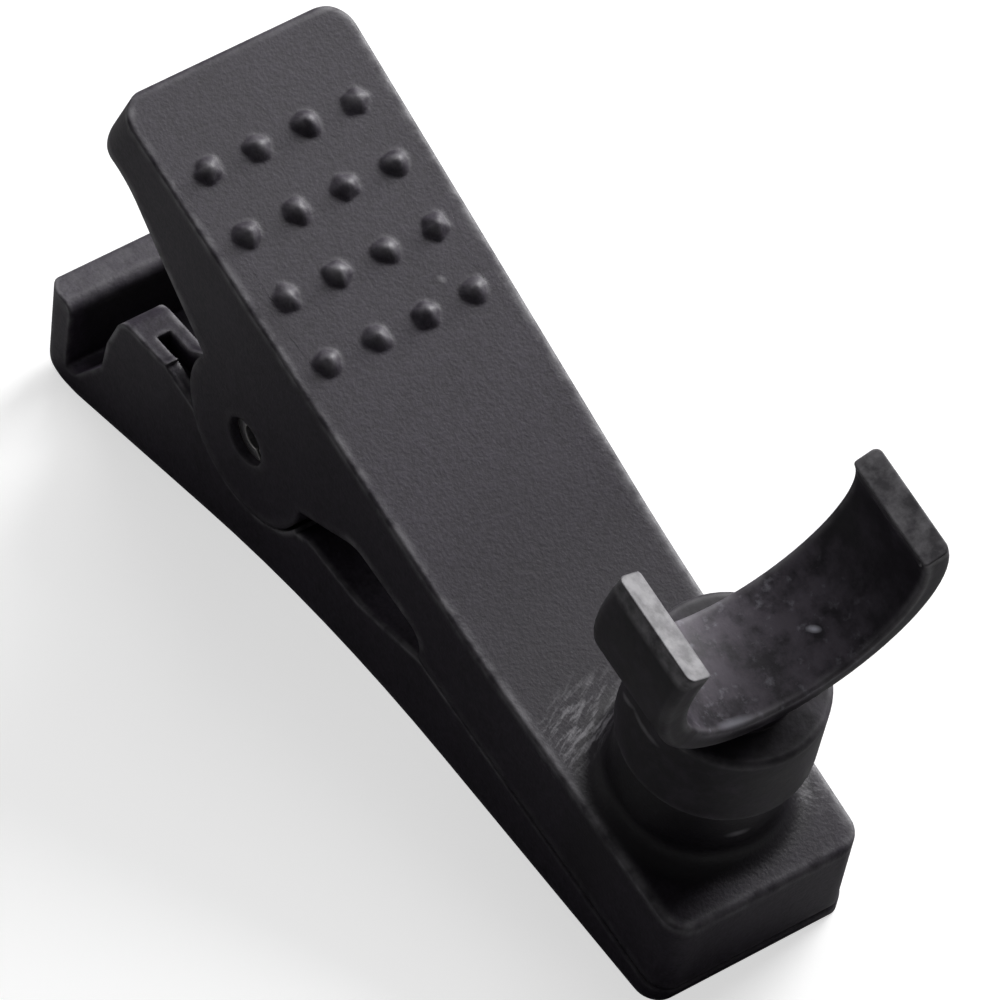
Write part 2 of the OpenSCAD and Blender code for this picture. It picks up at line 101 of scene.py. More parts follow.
class Finish:
    """A material in the making; add() makes every node that isn't arithmetic."""

    def __init__(self, name, **constants):
        self.material = bpy.data.materials.new(name)
        self.material.use_nodes = True
        self.tree = self.material.node_tree
        self.shader = self.tree.nodes["Principled BSDF"]
        for socket, value in constants.items():
            self.shader.inputs[socket].default_value = value
        self.place = self.add("ShaderNodeTexCoord", output="Object")

    def feed(self, socket, value):
        if isinstance(value, Value):
            self.tree.links.new(value.socket, socket)
        else:
            socket.default_value = value

    def add(self, kind, settings=None, sockets=None, output=0):
        """Adds a node: its settings or ramp stops first, then the values or links of its sockets."""
        node = self.tree.nodes.new(kind)
        for setting, value in (settings or {}).items():
            if setting == "stops":
                ramp = node.color_ramp.elements
                for stop, (position, level) in zip((ramp[0], ramp[1]), value):
                    stop.position = position
                    stop.color = (level, level, level, 1)
            else:
                setattr(node, setting, value)
        for socket, value in (sockets or {}).items():
            self.feed(node.inputs[socket], value)
        return Value(self, node.outputs[output])

    def along(self, axis, place=None):
        """One coordinate of a place, by its letter."""
        return self.add("ShaderNodeSeparateXYZ", {}, {0: place or self.place}, output=axis)

    def vector_maths(self, operation, first, second, output=0):
        """One Vector Math node; a length or a distance is its output called Value."""
        return self.add("ShaderNodeVectorMath", {"operation": operation}, {0: first, 1: second}, output)

    def length(self, vector):
        return self.add("ShaderNodeVectorMath", {"operation": "LENGTH"}, {0: vector}, output="Value")

    def larger(self, first, second):
        """The larger of two masks."""
        return self.add("ShaderNodeMath", {"operation": "MAXIMUM"}, {0: first, 1: second})

    def noise(self, cell, fineness=SOFT, place=None):
        """Cloudy noise whose lumps are about one cell wide."""
        octaves, strength = fineness
        return self.add("ShaderNodeTexNoise", {}, {
            "Vector": place or self.place, "Scale": 1 / cell, "Detail": octaves, "Roughness": strength})

    def ramp(self, value, low, high, bottom=0.0, top=1.0):
        """The value between two limits, stretched to run from bottom to top."""
        return self.add("ShaderNodeValToRGB", {"stops": ((low, bottom), (high, top))}, {"Fac": value})

    def patches(self, cell, fineness, low, high, least=0.0):
        """Noise as a mask: the least where it is under low, 1 where it is over high."""
        return self.ramp(self.noise(cell, fineness), low, high, least)

    def between(self, value, start, end, first=0.0, last=1.0):
        """Runs from first to last as the value goes from start to end, and stays there beyond."""
        return self.add("ShaderNodeMapRange", {}, {
            "Value": value, "From Min": start, "From Max": end, "To Min": first, "To Max": last})

    def blend(self, share, first, second):
        """A colour between two others; one that is written as three numbers gets its alpha."""
        first, second = (colour if isinstance(colour, Value) else (*colour, 1)
                         for colour in (first, second))
        sockets = {0: share, FIRST_COLOUR: first, SECOND_COLOUR: second}
        return self.add("ShaderNodeMix", {"data_type": "RGBA"}, sockets, output=MIXED_COLOUR)

    def set(self, socket, value):
        self.feed(self.shader.inputs[socket], value)

    def bump(self, height, depth, edge_round):
        """Raises the surface by the height field, whose value of one stands for the depth, on a
        normal that turns round every edge at the given radius."""
        rounded = self.add("ShaderNodeBevel", {"samples": ROUNDING_SAMPLES}, {"Radius": edge_round})
        normal = self.add("ShaderNodeBump", {}, {"Height": height, "Distance": depth, "Normal": rounded})
        self.set("Normal", normal)

    def outward_edge(self, reach):
        """1 on an edge that points outwards, down to 0 at the reach: the share of short rays into
        the material that come out through the face round the edge."""
        rays = {"inside": True, "only_local": True, "samples": OPENNESS_SAMPLES}
        clear = self.add("ShaderNodeAmbientOcclusion", rays, {"Distance": reach}, output="AO")
        return self.ramp(clear, *OPENNESS, 1.0, 0.0)


RUB_BREAKS = (0.35, 0.62)
RUB_LEAST = 0.2


def rub(finish, reach, breakup_cell):
    """How far an edge is rubbed: nearness to the edge, broken up by noise."""
    return finish.outward_edge(reach) * finish.patches(breakup_cell, CLOUDY, *RUB_BREAKS, RUB_LEAST)


GRAIN_PIT = 0.13 * MM
GRAIN_SWELL = 2.6 * GRAIN_PIT
PIT_SHARE = 0.6
GRAIN_DEPTH = 0.02 * MM
SPECKLE = (0.38, 0.62)
SPECKLE_SHARE = 0.7
CLOUDS = (3.1 * MM, CLOUDY, 0.3, 0.7)
EDGE_WEAR = 0.8
EDGE_BREAKUP = 0.7 * MM

NYLON_BLACK = (0.046, 0.037, 0.056)
NYLON_DULL = (0.013, 0.008, 0.017)
NYLON_PAINTED_SHADE = (0.006, 0.003, 0.008)
NYLON_RUBBED_AND_LIT = (0.22, 0.212, 0.23)
NYLON_POLISHED_AND_SHADED = (0.007, 0.005, 0.009)
NYLON_ROUGHNESS = 0.54
GRAIN_ROUGHENS = 0.1
WEAR_SMOOTHS = 0.08
POLISH_SMOOTHS = 0.1


def spark_grain(finish):
    """Two sizes of noise added up, the pits and swells that spark erosion leaves in a mould."""
    return PIT_SHARE * finish.noise(GRAIN_PIT) + (1 - PIT_SHARE) * finish.noise(GRAIN_SWELL)


def nylon(name, edge_round, edge_rub, exposed, marks_and_light, painted_shade, polish_and_shade=None):
    """Grained black nylon with rubbed edges. Of the masks, the first is how far its edges are open to
    rubbing, the second lighter wear mixed with painted light and painted glints, the third a painted
    shade where shade falls, and the last gloss on a darker colour that is painted shade."""
    finish = Finish(name, IOR=PLASTIC_IOR)
    grain = spark_grain(finish)
    speckle = finish.ramp(grain, *SPECKLE)
    cloud = finish.patches(*CLOUDS)
    body = finish.blend(SPECKLE_SHARE * speckle + (1 - SPECKLE_SHARE) * cloud, NYLON_DULL, NYLON_BLACK)
    # Painted shade: a darker colour in the tray and round the post, where shade falls.
    body = finish.blend(painted_shade(finish), body, NYLON_PAINTED_SHADE)
    rubbed_edges = EDGE_WEAR * rub(finish, edge_rub, EDGE_BREAKUP) * exposed(finish)
    # This lighter colour is real wear on the edges, plus painted light and painted glints from the marks.
    worn_and_lit = finish.larger(rubbed_edges, marks_and_light(finish))
    roughness = NYLON_ROUGHNESS + GRAIN_ROUGHENS * (grain - 0.5) - WEAR_SMOOTHS * worn_and_lit
    # Painted shade and real gloss: this mask darkens the post and its fillet and lowers their roughness.
    if polish_and_shade:
        gloss_and_shade = polish_and_shade(finish)
        body = finish.blend(gloss_and_shade, body, NYLON_POLISHED_AND_SHADED)
        roughness = roughness - POLISH_SMOOTHS * gloss_and_shade
    finish.set("Base Color", finish.blend(worn_and_lit, body, NYLON_RUBBED_AND_LIT))
    finish.set("Roughness", roughness)
    finish.bump(grain, GRAIN_DEPTH, edge_round)
    return finish.material


MERGE_WITHIN = 0.002 * MM
SHARP_FROM = math.radians(26)


def moulding(node, body, material):
    """A copy of a CAD node as one closed skin, standing for the node.

    Doubled points are merged, edges sharper than SHARP_FROM stay sharp, and each point's normal
    leans to its larger faces, so that flats stay flat beside their fillets.
    """
    piece = bpy.data.objects.new(node + "_moulded", frame["nodes"][node].data.copy())
    bpy.context.scene.collection.objects.link(piece)
    piece.data.attributes.remove(piece.data.attributes["custom_normal"])
    piece.data.materials.clear()
    piece.data.materials.append(material)
    piece.data.polygons.foreach_set("material_index", np.zeros(len(piece.data.polygons), np.int32))
    skin = bmesh.new()
    skin.from_mesh(piece.data)
    bmesh.ops.remove_doubles(skin, verts=skin.verts, dist=MERGE_WITHIN)
    skin.to_mesh(piece.data)
    skin.free()
    piece.data.polygons.foreach_set("use_smooth", np.ones(len(piece.data.polygons), bool))
    piece.data.set_sharp_from_angle(angle=SHARP_FROM)
    weigh = piece.modifiers.new("weigh", "WEIGHTED_NORMAL")
    weigh.keep_sharp = True
    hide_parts(node)
    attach(piece, body)
    return piece


LEVER_ROUND = 0.22 * MM
LEVER_RUB = 0.3 * MM
# Painted light: a lighter cloudy colour on the rim tops behind the tray.
RIM_LIGHT_HEIGHT = (3.7 * MM, 4.3 * MM)
RIM_LIGHT_BEHIND_TRAY = (-18.0 * MM, -19.5 * MM)
RIM_PAINTED_LIGHT = 0.36
RIM_LIGHT_PATCHES = (0.6 * MM, RAGGED, 0.3, 0.62, 0.35)
OPEN_EDGES = (3.0 * MM, 4.2 * MM)
COVERED_EDGE_WEAR = 0.35
TRAY_REAR = (-19.9 * MM, -19.6 * MM)
TRAY_FRONT = (-5.0 * MM, -8.0 * MM)
TRAY_SIDE = (4.6 * MM, 4.2 * MM)
TRAY_TOP = (4.4 * MM, 3.9 * MM)


def painted_light_on_rim_tops(finish):
    """Cloudy painted light on the rim behind the tray, lightening it where it stands above the tray's
    walls.
    """
    height = finish.between(finish.along("Z"), *RIM_LIGHT_HEIGHT)
    rim = finish.between(finish.along("X"), *RIM_LIGHT_BEHIND_TRAY)
    return RIM_PAINTED_LIGHT * rim * height * finish.patches(*RIM_LIGHT_PATCHES)


def rim_and_ear_edges(finish):
    """1 at the height of the rim and the ears, and little where the levers cover each other."""
    return finish.between(finish.along("Z"), *OPEN_EDGES, COVERED_EDGE_WEAR)


def shade_inside_tray(finish):
    """1 in the box between the rim, the walls and the pin: a painted shade on the tray's inside."""
    lengthwise = finish.along("X")
    aside = finish.add("ShaderNodeMath", {"operation": "ABSOLUTE"}, {0: finish.along("Y")})
    from_rim_to_pin = finish.between(lengthwise, *TRAY_REAR) * finish.between(lengthwise, *TRAY_FRONT)
    below_top = finish.between(finish.along("Z"), *TRAY_TOP)
    return from_rim_to_pin * finish.between(aside, *TRAY_SIDE) * below_top


moulding("lower_lever", "lower",
         nylon("grained_nylon", LEVER_ROUND, LEVER_RUB, rim_and_ear_edges, painted_light_on_rim_tops, shade_inside_tray))

# ---------------------------------------------------------------- upper lever
# The half that is pressed: a top plate with sixteen finger domes, two round hinge lobes, the upper
# jaw with its ridges, and the post that the cradle turns on. It is the same moulded nylon; fitting
# the cradle has scuffed the plate at the foot of the post.

hinge = next(joint for joint in frame["joints"] if joint["name"] == "jaw_hinge")
swivel = next(joint for joint in frame["joints"] if joint["name"] == "cradle_swivel")
PIN = Vector(hinge["pos_m"])
POST_FOOT = Vector(swivel["pos_m"])
SLOPE = math.atan2(swivel["axis"][0], swivel["axis"][2])

PLATE_ROUND = 0.3 * MM
PLATE_RUB = 0.55 * MM
UNDER_FACE = (-3.9 * MM, -3.2 * MM)
UNDER_FACE_WEAR = 0.25
FACING_UP = (0.55, 0.9)

# Each scuff's centre and half axes in millimetres on the top face, its turn in degrees and strength.
SCUFFS = (((-3.8, -2.7), (1.6, 3.3), 25, 0.9), ((2.6, 3.6), (1.0, 1.5), -40, 0.55))
SCUFF_DEPTH = 1.2
SCUFF_FADE = (0.3, 1.0)
STREAK_CELL = 0.16
STREAK_FINENESS = (4.0, 0.62)
STREAK_DRAWN_OUT = (1.0, 0.5, 1.0)
STREAK = (0.48, 0.64)

# Each mark's two ends and half breadth in millimetres, and its strength: a painted glint at the front of
# the post's foot, and a nick beside the foremost row of domes.
PLATE_GLINT_AND_NICK = (((18.15, -1.3, 7.45), (18.42, -0.15, 7.35), 0.3, 0.9),
               ((-5.57, 2.28, 14.07), (-5.2, 2.54, 13.91), 0.17, 0.8))
MARK_FADE = (1.0, 0.2)

HEADS_RUBBED = 0.22
HEADS_PATCHES = (0.35 * MM, CLOUDY, 0.4, 0.6)
PLATE_LIGHT_RANGE = (-5.0 * MM, -26.0 * MM)
PLATE_PAINTED_LIGHT = 0.15
SHADE_CENTRE = (-2.5 * MM, 0.0, 0.0)
SHADE_REACH = (12.0 * MM, 3.0 * MM)
SHADE_SHARE = 0.65
POST_RADIUS = 3.4 * MM
POLISHED_AND_SHADED_RING = (1.3 * MM, 0.65 * MM)


def on_face(finish):
    """Coordinates from the post's foot, turned to the top face."""
    return finish.add("ShaderNodeMapping", {"vector_type": "TEXTURE"}, {
        "Vector": finish.place, "Location": POST_FOOT, "Rotation": (0, SLOPE, 0)})


def top_edges(finish):
    """1 along the top face's border, and little low on the sides, where the levers meet."""
    return finish.between(finish.along("Z", on_face(finish)), *UNDER_FACE, UNDER_FACE_WEAR)


def post_foot_scuffs(finish):
    """Streaky noise kept to an oval for each of SCUFFS, beside the post."""
    scuffs = 0
    for centre, reach, turn, strength in SCUFFS:
        oval = finish.add("ShaderNodeMapping", {"vector_type": "TEXTURE"}, {
            "Vector": on_face(finish), "Location": Vector((*centre, 0)) * MM,
            "Rotation": (0, 0, math.radians(turn)), "Scale": Vector((*reach, SCUFF_DEPTH)) * MM})
        streaked = finish.add("ShaderNodeMapping", {}, {"Vector": oval, "Scale": STREAK_DRAWN_OUT})
        streaks = finish.ramp(finish.noise(STREAK_CELL, STREAK_FINENESS, streaked), *STREAK)
        scuffs = scuffs + strength * finish.ramp(finish.length(oval), *SCUFF_FADE, 1.0, 0.0) * streaks
    return scuffs


def spindle(finish, first, last, breadth, strength):
    """A spindle-shaped mark between two points, fading at its border."""
    first, last = Vector(first) * MM, Vector(last) * MM
    run = last - first
    on_mark = finish.add("ShaderNodeMapping", {"vector_type": "TEXTURE"}, {
        "Vector": finish.place, "Location": (first + last) / 2,
        "Rotation": run.to_track_quat("X", "Z").to_euler(),
        "Scale": (run.length / 2, breadth * MM, breadth * MM)})
    return strength * finish.between(finish.length(on_mark), *MARK_FADE)


def upward(finish):
    """1 where the surface faces the way the top plate does, and 0 on its sides."""
    normal = finish.add("ShaderNodeTexCoord", output="Normal")
    plate_normal = (math.sin(SLOPE), 0, math.cos(SLOPE))
    return finish.between(finish.vector_maths("DOT_PRODUCT", normal, plate_normal, "Value"), *FACING_UP)


def plate_wear_and_light(finish):
    """The scuffs, the rubbed heads of the domes, a painted light on upward faces that grows rearwards, a
    painted glint at the post's foot and a nick.
    """
    heads = finish.add("ShaderNodeAttribute", {"attribute_name": "dome"}, output="Fac")
    rubbed_heads = HEADS_RUBBED * heads * finish.patches(*HEADS_PATCHES)
    # Painted light: a lighter colour on upward faces, growing rearwards in place of the lamp's falloff
    # along the plate.
    painted_light_rearwards = finish.between(finish.along("X", on_face(finish)), *PLATE_LIGHT_RANGE, 0.0, PLATE_PAINTED_LIGHT)
    marks_and_light = sum(spindle(finish, *mark) for mark in PLATE_GLINT_AND_NICK)
    return post_foot_scuffs(finish) + rubbed_heads + painted_light_rearwards * upward(finish) + marks_and_light


def shade_round_the_post(finish):
    """A painted shade on the top face round and behind the post, fading out over its reach."""
    off_centre = finish.vector_maths("DISTANCE", on_face(finish), SHADE_CENTRE, "Value")
    return finish.between(off_centre, *SHADE_REACH, 0.0, SHADE_SHARE) * upward(finish)


def turned_polish_and_shade(finish):
    """1 on the post and its fillet, which the cradle polishes, and 0 a little further out.
    The mask smooths them and also darkens their colour as a painted shade.
    """
    away = finish.length(finish.vector_maths("MULTIPLY", on_face(finish), (1, 1, 0)))
    return finish.between(away, *(POST_RADIUS + beyond for beyond in POLISHED_AND_SHADED_RING))


plate = moulding("upper_lever", "upper",
                 nylon("scuffed_nylon", PLATE_ROUND, PLATE_RUB, top_edges, plate_wear_and_light, shade_round_the_post,
                       turned_polish_and_shade))

# The domes are worn: each is drawn in to a blunt cone and flattened, and none is quite round any more.

PIN_TO_REAR = 11.4 * MM
TOP_OVER_PIN = 5.7 * MM
BEND_AHEAD = 12.9 * MM
REAR_BEND = math.radians(5.3)
DOME_COUNT = 4
DOME_FIRST = 4.0 * MM
DOME_ROW_PITCH = 2.87 * MM
DOME_COLUMN_PITCH = 2.19 * MM
DOME_RADIUS = 0.675 * MM
DOME_HEIGHT = 0.45 * MM
DOME_REACH = 1.02 * DOME_RADIUS
DOME_LOWEST = -0.01 * MM
DOME_DRAWN_IN = 0.15
DOME_UNEVEN = 0.26
DOME_WAVES = (1, 2, 3, 5)
DOME_POINTED = 0.45
DOME_LOWERED = 0.075
DOME_HEIGHTS_VARY = 0.1
STRENGTH_STEPS = (5.1, 2.3)
PHASE_STEP = 1.7
HEIGHT_STEP = 3.7


def turned(first, second, angle):
    """Two coordinates turned by an angle: a rotation in their plane."""
    return (math.cos(angle) * first - math.sin(angle) * second,
            math.sin(angle) * first + math.cos(angle) * second)


def worn_dome(number, off_x, off_y, rise):
    """The factors for one dome's breadth and height.

    Breadth shrinks by DOME_DRAWN_IN and by DOME_POINTED times the share of the dome's height, and
    varies with a sum of waves round its axis. The waves' strength and phase, and how far the height
    varies, follow from its number.
    """
    angle = np.arctan2(off_y, off_x)
    waves = sum(math.sin(STRENGTH_STEPS[0] * number + STRENGTH_STEPS[1] * wave)
                * np.sin(wave * (angle + PHASE_STEP * number)) for wave in DOME_WAVES)
    breadth = 1 - DOME_DRAWN_IN + DOME_UNEVEN * waves / len(DOME_WAVES)
    height = 1 - DOME_LOWERED + DOME_HEIGHTS_VARY * math.sin(HEIGHT_STEP * number)
    return (1 - DOME_POINTED * rise) * breadth, height


def wear_domes(mesh):
    """Reshapes each dome about its own axis, in coordinates of the plate's rear half: ahead of its
    rear edge, across it, and above it. Keeps each point's share of a dome's height as "dome"."""
    points = np.zeros(len(mesh.vertices) * 3)
    mesh.vertices.foreach_get("co", points)
    from_pin = points.reshape(-1, 3) - np.array(PIN)
    rear_top = TOP_OVER_PIN + (BEND_AHEAD + PIN_TO_REAR) * math.tan(REAR_BEND)
    along, over = turned(from_pin[:, 0], from_pin[:, 2], SLOPE)
    ahead, height = turned(along + PIN_TO_REAR, over - rear_top, REAR_BEND)
    across = from_pin[:, 1]
    on_dome = np.zeros(len(height), bool)
    for number in range(DOME_COUNT ** 2):
        row, column = divmod(number, DOME_COUNT)
        centre = DOME_FIRST + row * DOME_ROW_PITCH
        side = (column - (DOME_COUNT - 1) / 2) * DOME_COLUMN_PITCH
        off_x, off_y = ahead - centre, across - side
        its = (np.hypot(off_x, off_y) < DOME_REACH) & (height > DOME_LOWEST)
        on_dome |= its
        breadth, tallness = worn_dome(number, off_x, off_y, np.clip(height / DOME_HEIGHT, 0, 1))
        ahead = np.where(its, centre + breadth * off_x, ahead)
        across = np.where(its, side + breadth * off_y, across)
        height = np.where(its, tallness * height, height)
    along, over = turned(ahead, height, -REAR_BEND)
    back_x, back_z = turned(along - PIN_TO_REAR, over + rear_top, -SLOPE)
    moved = np.stack([back_x, across, back_z], 1) + np.array(PIN)
    mesh.vertices.foreach_set("co", moved.ravel())
    share = np.where(on_dome, np.clip(height / DOME_HEIGHT, 0, 1), 0)
    mesh.attributes.new("dome", "FLOAT", "POINT").data.foreach_set("value", share.astype(np.float32))
    mesh.update()


wear_domes(plate.data)

# ---------------------------------------------------------------- hinge pin
# A slit tube, rolled from spring steel strip and blackened, that holds itself in the lobes by its
# own spring. The ears turn on it.

STEEL_BLUED = (0.5, 0.49, 0.51)
STEEL_BARE = (0.85, 0.83, 0.80)
PIN_ROUND = 0.07 * MM
PIN_RUB = 0.1 * MM
PIN_BREAKUP = 0.3 * MM
PIN_ROUGHNESS = 0.34
DRAWN_LINE = 0.09 * MM
DRAWN_DEPTH = 0.004 * MM
DRAWN_ALONG = (1.0, 0.08, 1.0)
DRAWN_ROUGHENS = 0.18

blued = Finish("blued_steel", Metallic=1.0)
blued_wear = rub(blued, PIN_RUB, PIN_BREAKUP)
drawn = blued.add("ShaderNodeMapping", {}, {"Vector": blued.place, "Scale": DRAWN_ALONG})
drawn_lines = blued.noise(DRAWN_LINE, SOFT, drawn)
blued.set("Base Color", blued.blend(blued_wear, STEEL_BLUED, STEEL_BARE))
blued.set("Roughness", PIN_ROUGHNESS + DRAWN_ROUGHENS * drawn_lines)
blued.bump(drawn_lines, DRAWN_DEPTH, PIN_ROUND)
moulding("hinge_pin", "upper", blued.material)

# ---------------------------------------------------------------- torsion spring
# One length of music wire wound round the pin between the ears. One leg presses on the tray's
# floor and the other under the top plate, so that it keeps the jaws shut.

WIRE = 0.5 * MM
COIL_RADIUS = 1.55 * MM
COIL_PITCH = 1.1 * MM
COIL_TURNS = 4
LOWER_TOUCH = Vector((-9.0, 0, -5.91)) * MM
LOWER_END = Vector((-10.19, 0, -6.09)) * MM
UPPER_TOUCH = Vector((-5.80, 0, 8.175)) * MM
UPPER_END = Vector((-6.905, 0, 8.64)) * MM
RINGS_A_TURN = 40
WIRE_SIDES = 14
CUT_RADIUS = 0.82
CUT_STANDS = 0.25
WIRE_SHARP_FROM = math.radians(50)


def leaving_angle(touch, side):
    """Angle at which a leg leaves the coil as its tangent: the angle of the point that it touches,
    plus or minus the arccosine of the coil's radius over that point's reach."""
    reach = math.hypot(touch.x, touch.z)
    return math.atan2(touch.z, touch.x) + side * math.acos(COIL_RADIUS / reach)


def spring_route():
    """Leg, coil and leg: the coil is a helix along Y, and each leg a straight tangent to it."""
    start = leaving_angle(LOWER_TOUCH, 1) - 2 * math.pi
    sweep = leaving_angle(UPPER_TOUCH, -1) - start + 2 * math.pi * (COIL_TURNS - 1)
    width = COIL_PITCH * sweep / (2 * math.pi)
    share = np.linspace(0, 1, round(sweep / (2 * math.pi) * RINGS_A_TURN))
    angle = start + sweep * share
    coil = np.stack([COIL_RADIUS * np.cos(angle), width * (share - 0.5), COIL_RADIUS * np.sin(angle)], 1)
    lower_leg = [(point.x, -width / 2, point.z) for point in (LOWER_END, LOWER_TOUCH)]
    upper_leg = [(point.x, width / 2, point.z) for point in (UPPER_TOUCH, UPPER_END)]
    return np.concatenate([lower_leg, coil, upper_leg]) + np.array(PIN), width


def tube(name, route, radius, sides):
    """A round section carried along a route: ring i is the route's point i plus cosine and sine
    steps along two axes square to the heading. One more ring past each end, drawn in to CUT_RADIUS,
    carries the flat face of the cut."""
    heading = np.gradient(route, axis=0)
    heading /= np.linalg.norm(heading, axis=1, keepdims=True)
    side = np.array([0.0, 1.0, 0.0]) - heading * heading[:, 1:2]
    side /= np.linalg.norm(side, axis=1, keepdims=True)
    out = np.cross(heading, side)
    turn = np.linspace(0, 2 * math.pi, sides, endpoint=False)
    rings = np.cos(turn)[None, :, None] * side[:, None, :] + np.sin(turn)[None, :, None] * out[:, None, :]
    points = route[:, None, :] + radius * rings
    first = route[0] + radius * (CUT_RADIUS * rings[0] - CUT_STANDS * heading[0])
    last = route[-1] + radius * (CUT_RADIUS * rings[-1] + CUT_STANDS * heading[-1])
    points = np.concatenate([first[None], points, last[None]]).reshape(-1, 3)
    count = len(route) + 2
    row = np.arange(count - 1)[:, None] * sides
    step = np.arange(sides)[None, :]
    after = (step + 1) % sides
    quads = np.stack([row + step, row + sides + step, row + sides + after, row + after], -1).reshape(-1, 4)
    ends = [list(range(sides)), list(range(count * sides - 1, (count - 1) * sides - 1, -1))]
    mesh = bpy.data.meshes.new(name)
    mesh.from_pydata(points.tolist(), [], quads.tolist() + ends)
    mesh.polygons.foreach_set("use_smooth", np.ones(len(mesh.polygons), bool))
    mesh.set_sharp_from_angle(angle=WIRE_SHARP_FROM)
    mesh.update()
    piece = bpy.data.objects.new(name, mesh)
    bpy.context.scene.collection.objects.link(piece)
    return piece


WIRE_BRIGHT = (0.42, 0.41, 0.39)
WIRE_OILED = (0.28, 0.265, 0.245)
WIRE_BAND = 0.16 * MM
WIRE_FINENESS = (3.0, 0.6)
WIRE_BANDING = (0.35, 0.7)
WIRE_ROUGHNESS = 0.24
BANDS_ROUGHEN = 0.2
BAND_DEPTH = 0.004 * MM
WIRE_ROUND = 0.03 * MM

music_wire = Finish("music_wire", Metallic=1.0)
bands = music_wire.noise(WIRE_BAND, WIRE_FINENESS)
oiled = music_wire.ramp(bands, *WIRE_BANDING)
music_wire.set("Base Color", music_wire.blend(oiled, WIRE_BRIGHT, WIRE_OILED))
music_wire.set("Roughness", WIRE_ROUGHNESS + BANDS_ROUGHEN * bands)
music_wire.bump(bands, BAND_DEPTH, WIRE_ROUND)

route, coil_width = spring_route()
spring = tube("torsion_spring_wire", route, WIRE / 2, WIRE_SIDES)
spring.data.materials.append(music_wire.material)
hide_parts("torsion_spring")
PIN - Vector((0, coil_width / 2, 0))
PIN + Vector((0, coil_width / 2, 0))
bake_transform(spring)

# ---------------------------------------------------------------- microphone cradle
# An open ring that the capsule snaps into, on a round foot whose split spigot turns in the post.
# It is moulded in a harder, slightly glossy black. Capsules going in and out have rubbed the tips of
# its arms bright and left a dull bloom where they rest.

CRADLE_BLACK = (0.010, 0.007, 0.013)
CRADLE_DULL = (0.045, 0.037, 0.052)
CRADLE_BLOOM = (0.13, 0.113, 0.14)
CRADLE_RUBBED_AND_HIGHLIGHT = (0.34, 0.33, 0.35)
CRADLE_GLINT_AND_SPECK = (0.75, 0.75, 0.85)
CRADLE_ROUGHNESS = 0.46
FLOW_ROUGHENS = 0.16
BLOOM_ROUGHENS = 0.12
CRADLE_ROUND = 0.14 * MM
RIPPLE_DEPTH = 0.02 * MM
COARSE_RIPPLE = 0.5 * MM
FINE_RIPPLE = 0.17 * MM
COARSE_SHARE = 0.7

FLOW_CELL = 1.3 * MM
FLOW_FINENESS = (5.0, 0.62)
FLOW_DULLS = (0.45, 0.68)
FLOW_BLOOMS = (0.4, 0.62, 0.15)
FLOW_ROUGH = (0.3, 0.75)

RING_CENTRE = (0.0, 0.0, 14.5 * MM)
RING_INSIDE = (5.5 * MM, 5.2 * MM)
BLOOM_HEIGHT = (12.6 * MM, 10.4 * MM)
SPECKS = (0.5 * MM, RAGGED, 0.58, 0.72)
SPECKS_SHARE = 0.2

TIP_HEIGHT = (16.15 * MM, 16.45 * MM)
TIP_WEAR = 0.8
TIP_PATCHES = (0.8 * MM, RAGGED, 0.38, 0.62, 0.3)
CRADLE_EDGE_WEAR = 0.55
CRADLE_RUB = 0.4 * MM
CRADLE_BREAKUP = 1.1 * MM

# Marks as on the plate: a painted highlight line across the foot, in two stretches, and two painted glints
# in the ring, a fleck and a longer one at its front edge.
FOOT_HIGHLIGHT_LINE = (((13.9, -2.83, 12.28), (15.6, -3.45, 13.28), 0.16, 0.8),
                ((15.3, -3.4, 13.2), (17.3, -3.58, 12.85), 0.22, 0.8))
RING_GLINTS = (((17.75, 2.38, 16.02), (18.25, 2.78, 16.115), 0.17, 1.0),
              ((19.65, -2.85, 15.72), (19.4, -0.9, 14.95), 0.3, 0.5))


def ring_floor(finish):
    """1 low down inside the ring, where capsules rest, and 0 on its outside and on its arms."""
    from_centre = finish.vector_maths("SUBTRACT", on_face(finish), RING_CENTRE)
    away = finish.length(finish.vector_maths("MULTIPLY", from_centre, (0, 1, 1)))
    low = finish.between(finish.along("Z", on_face(finish)), *BLOOM_HEIGHT)
    return finish.between(away, *RING_INSIDE) * low


def cradle_wear_and_highlight(finish):
    """Patchy wear over the tips of the arms, less of it along every edge, and a painted highlight line on
    the foot.
    """
    tips = finish.between(finish.along("Z", on_face(finish)), *TIP_HEIGHT)
    rubbed_tips = TIP_WEAR * tips * finish.patches(*TIP_PATCHES)
    rubbed_edges = CRADLE_EDGE_WEAR * rub(finish, CRADLE_RUB, CRADLE_BREAKUP)
    # A painted highlight line along the foot's edge, where rim light falls.
    highlight_line = sum(spindle(finish, *stretch) for stretch in FOOT_HIGHLIGHT_LINE)
    return finish.larger(rubbed_tips, rubbed_edges) + highlight_line


cradle = Finish("cradle_moulding", IOR=PLASTIC_IOR)
flow = cradle.noise(FLOW_CELL, FLOW_FINENESS)
coarse_ripple, fine_ripple = cradle.noise(COARSE_RIPPLE, CLOUDY), cradle.noise(FINE_RIPPLE)
ripple = COARSE_SHARE * coarse_ripple + (1 - COARSE_SHARE) * fine_ripple
bloom = ring_floor(cradle)
cradle_body = cradle.blend(cradle.ramp(flow, *FLOW_DULLS), CRADLE_BLACK, CRADLE_DULL)
cradle_body = cradle.blend(bloom * cradle.ramp(flow, *FLOW_BLOOMS), cradle_body, CRADLE_BLOOM)
cradle_body = cradle.blend(cradle_wear_and_highlight(cradle), cradle_body, CRADLE_RUBBED_AND_HIGHLIGHT)
